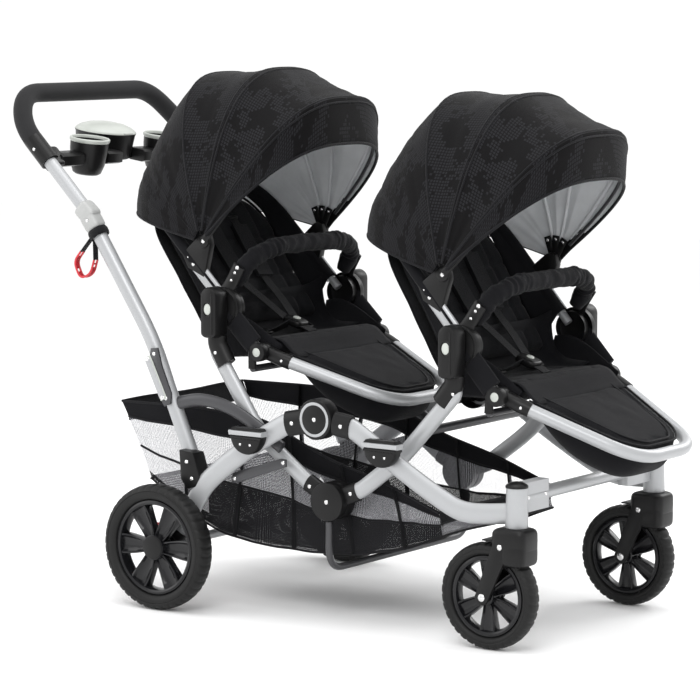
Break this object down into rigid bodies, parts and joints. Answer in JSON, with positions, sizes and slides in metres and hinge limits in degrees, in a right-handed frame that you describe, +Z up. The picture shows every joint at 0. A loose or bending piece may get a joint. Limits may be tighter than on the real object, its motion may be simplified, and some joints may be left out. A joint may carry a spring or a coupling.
{
  "type": "tandem stroller",
  "caption": "Four-wheeled tandem stroller with two in-line reclining seats, canopies, a folding diamond frame and a basket.",
  "frame": {"origin": "on the ground, under the middle of the whole stroller", "axes": "+X forward, +Y to the stroller's left, +Z up"},
  "size_m": [1.4632, 0.69, 1.0835],
  "materials": {
    "silver_tube": "satin silver-grey painted tube",
    "charcoal_metal": "satin charcoal",
    "black_plastic": "fine-grained matte black",
    "gloss_black_plastic": "gloss black",
    "tyre_rubber": "matte black foam-filled tyre",
    "foam_grip": "matte black foam sleeve",
    "black_fabric": "black woven polyester",
    "black_mesh": "black open mesh with a solid band",
    "grey_plastic": "satin light grey",
    "red_plastic": "satin red"
  },
  "bodies": {
    "rear_frame": {"rear_leg_right": "silver_tube", "rear_leg_left": "silver_tube", "upper_hub_right": "black_plastic", "upper_hub_left": "black_plastic", "push_tube_right": "silver_tube", "push_tube_left": "silver_tube", "side_arm_right": "charcoal_metal", "side_arm_left": "charcoal_metal", "rear_axle": "silver_tube", "basket": "black_mesh", "wrist_strap": "red_plastic"},
    "front_frame": {"front_frame": "silver_tube"},
    "brake_pedal": {"brake_pedal": "red_plastic"},
    "fold_lever": {"fold_lever": "black_plastic"},
    "handle": {"handle_tube": "silver_tube", "handle_grip": "foam_grip", "parent_tray": "black_plastic"},
    "tray_lid": {"tray_lid": "grey_plastic"},
    "rear_wheel_right": {"rear_wheel_right_rim": "gloss_black_plastic", "rear_wheel_right_tyre": "tyre_rubber"},
    "front_wheel_right": {"front_wheel_right_rim": "gloss_black_plastic", "front_wheel_right_tyre": "tyre_rubber"},
    "caster_right": {"caster_fork_right": "black_plastic"},
    "rear_wheel_left": {"rear_wheel_left_rim": "gloss_black_plastic", "rear_wheel_left_tyre": "tyre_rubber"},
    "front_wheel_left": {"front_wheel_left_rim": "gloss_black_plastic", "front_wheel_left_tyre": "tyre_rubber"},
    "caster_left": {"caster_fork_left": "black_plastic"},
    "rear_posts": {"rear_post_right": "silver_tube", "rear_post_left": "silver_tube", "rear_mount_right": "black_plastic", "rear_mount_left": "black_plastic", "rear_seat_base_frame": "black_plastic", "rear_seat_base_pad": "black_fabric", "under_bar": "charcoal_metal"},
    "rear_seat_back": {"rear_seat_back_frame": "silver_tube", "rear_seat_back_pad": "black_fabric", "rear_canopy": "black_fabric"},
    "rear_canopy_bow": {"rear_canopy_bow": "charcoal_metal"},
    "rear_leg_rest": {"rear_leg_rest_frame": "silver_tube", "rear_leg_rest_pad": "black_fabric"},
    "rear_bumper": {"rear_bumper_bar": "black_fabric"},
    "rear_release_right": {"rear_release_right": "grey_plastic"},
    "rear_release_left": {"rear_release_left": "grey_plastic"},
    "front_posts": {"front_post_right": "silver_tube", "front_post_left": "silver_tube", "front_mount_right": "black_plastic", "front_mount_left": "black_plastic", "front_seat_base_frame": "black_plastic", "front_seat_base_pad": "black_fabric", "post_cross_bar": "charcoal_metal"},
    "front_seat_back": {"front_seat_back_frame": "silver_tube", "front_seat_back_pad": "black_fabric", "front_canopy": "black_fabric"},
    "front_canopy_bow": {"front_canopy_bow": "charcoal_metal"},
    "front_leg_rest": {"front_leg_rest_frame": "silver_tube", "front_leg_rest_pad": "black_fabric"},
    "front_bumper": {"front_bumper_bar": "black_fabric"},
    "front_release_right": {"front_release_right": "grey_plastic"},
    "front_release_left": {"front_release_left": "grey_plastic"}
  },
  "joints": [
    {"name": "frame_fold", "type": "hinge", "parent": "rear_frame", "child": "front_frame", "pos_m": [0.10338, 0, 0.41], "axis": [0, 1, 0], "range_deg": [0, 6]},
    {"name": "rear_post_swing", "type": "hinge", "parent": "rear_frame", "child": "rear_posts", "pos_m": [-0.05362, 0, 0.348], "axis": [0, 1, 0], "range_deg": [0, 4.97]},
    {"name": "front_post_swing", "type": "hinge", "parent": "front_frame", "child": "front_posts", "pos_m": [0.26438, 0, 0.348], "axis": [0, 1, 0], "range_deg": [-4.85, 0]},
    {"name": "rear_wheel_right_spin", "type": "hinge", "parent": "rear_frame", "child": "rear_wheel_right", "pos_m": [-0.26462, -0.323, 0.127], "axis": [0, 1, 0], "continuous": true},
    {"name": "caster_right_swivel", "type": "hinge", "parent": "front_frame", "child": "caster_right", "pos_m": [0.54338, -0.26, 0.22], "axis": [0, 0, 1], "continuous": true},
    {"name": "front_wheel_right_spin", "type": "hinge", "parent": "caster_right", "child": "front_wheel_right", "pos_m": [0.48538, -0.26, 0.1025], "axis": [0, 1, 0], "continuous": true},
    {"name": "rear_wheel_left_spin", "type": "hinge", "parent": "rear_frame", "child": "rear_wheel_left", "pos_m": [-0.26462, 0.323, 0.127], "axis": [0, 1, 0], "continuous": true},
    {"name": "caster_left_swivel", "type": "hinge", "parent": "front_frame", "child": "caster_left", "pos_m": [0.54338, 0.26, 0.22], "axis": [0, 0, 1], "continuous": true},
    {"name": "front_wheel_left_spin", "type": "hinge", "parent": "caster_left", "child": "front_wheel_left", "pos_m": [0.48538, 0.26, 0.1025], "axis": [0, 1, 0], "continuous": true},
    {"name": "rear_seat_recline", "type": "hinge", "parent": "rear_posts", "child": "rear_seat_back", "pos_m": [-0.17962, 0, 0.606], "axis": [0, 1, 0], "range_deg": [-10, 5]},
    {"name": "rear_leg_rest_tilt", "type": "hinge", "parent": "rear_posts", "child": "rear_leg_rest", "pos_m": [-0.09262, 0, 0.521], "axis": [0, 1, 0], "range_deg": [-10, 25]},
    {"name": "rear_canopy_fold", "type": "hinge", "parent": "rear_seat_back", "child": "rear_canopy_bow", "pos_m": [-0.23562, 0, 0.736], "axis": [0, 1, 0], "range_deg": [-45, 0], "deforming": ["rear_canopy"]},
    {"name": "rear_bumper_tilt", "type": "hinge", "parent": "rear_posts", "child": "rear_bumper", "pos_m": [-0.17062, 0, 0.65], "axis": [0, 1, 0], "range_deg": [-5, 20]},
    {"name": "rear_release_right_press", "type": "slide", "parent": "rear_posts", "child": "rear_release_right", "axis": [0, 1, 0], "range_m": [0, 0.003], "stiffness_N_per_m": 600},
    {"name": "rear_release_left_press", "type": "slide", "parent": "rear_posts", "child": "rear_release_left", "axis": [0, -1, 0], "range_m": [0, 0.003], "stiffness_N_per_m": 600},
    {"name": "front_seat_recline", "type": "hinge", "parent": "front_posts", "child": "front_seat_back", "pos_m": [0.38738, 0, 0.564], "axis": [0, 1, 0], "range_deg": [-8, 12]},
    {"name": "front_leg_rest_tilt", "type": "hinge", "parent": "front_posts", "child": "front_leg_rest", "pos_m": [0.46824, 0, 0.47314], "axis": [0, 1, 0], "range_deg": [-10, 14]},
    {"name": "front_canopy_fold", "type": "hinge", "parent": "front_seat_back", "child": "front_canopy_bow", "pos_m": [0.34059, 0, 0.69759], "axis": [0, 1, 0], "range_deg": [-45, 0], "deforming": ["front_canopy"]},
    {"name": "front_bumper_tilt", "type": "hinge", "parent": "front_posts", "child": "front_bumper", "pos_m": [0.39943, 0, 0.60727], "axis": [0, 1, 0], "range_deg": [-5, 20]},
    {"name": "front_release_right_press", "type": "slide", "parent": "front_posts", "child": "front_release_right", "axis": [0, 1, 0], "range_m": [0, 0.003], "stiffness_N_per_m": 600},
    {"name": "front_release_left_press", "type": "slide", "parent": "front_posts", "child": "front_release_left", "axis": [0, -1, 0], "range_m": [0, 0.003], "stiffness_N_per_m": 600},
    {"name": "handle_tilt", "type": "hinge", "parent": "rear_frame", "child": "handle", "pos_m": [-0.49662, 0, 0.787], "axis": [0, 1, 0], "range_deg": [-15, 8]},
    {"name": "tray_lid_open", "type": "hinge", "parent": "handle", "child": "tray_lid", "pos_m": [-0.72762, 0, 0.931], "axis": [0, -1, 0], "range_deg": [0, 40]},
    {"name": "brake_press", "type": "hinge", "parent": "rear_frame", "child": "brake_pedal", "pos_m": [-0.26462, 0, 0.127], "axis": [0, 1, 0], "range_deg": [-20, 0]},
    {"name": "fold_lever_turn", "type": "hinge", "parent": "rear_frame", "child": "fold_lever", "pos_m": [-0.28062, -0.276, 0.421], "axis": [0, 1, 0], "range_deg": [-20, 0]}
  ],
  "couplings": [
    {"joint": "rear_post_swing", "follows": "frame_fold", "ratio": 0.82},
    {"joint": "front_post_swing", "follows": "frame_fold", "ratio": -0.8}
  ]
}
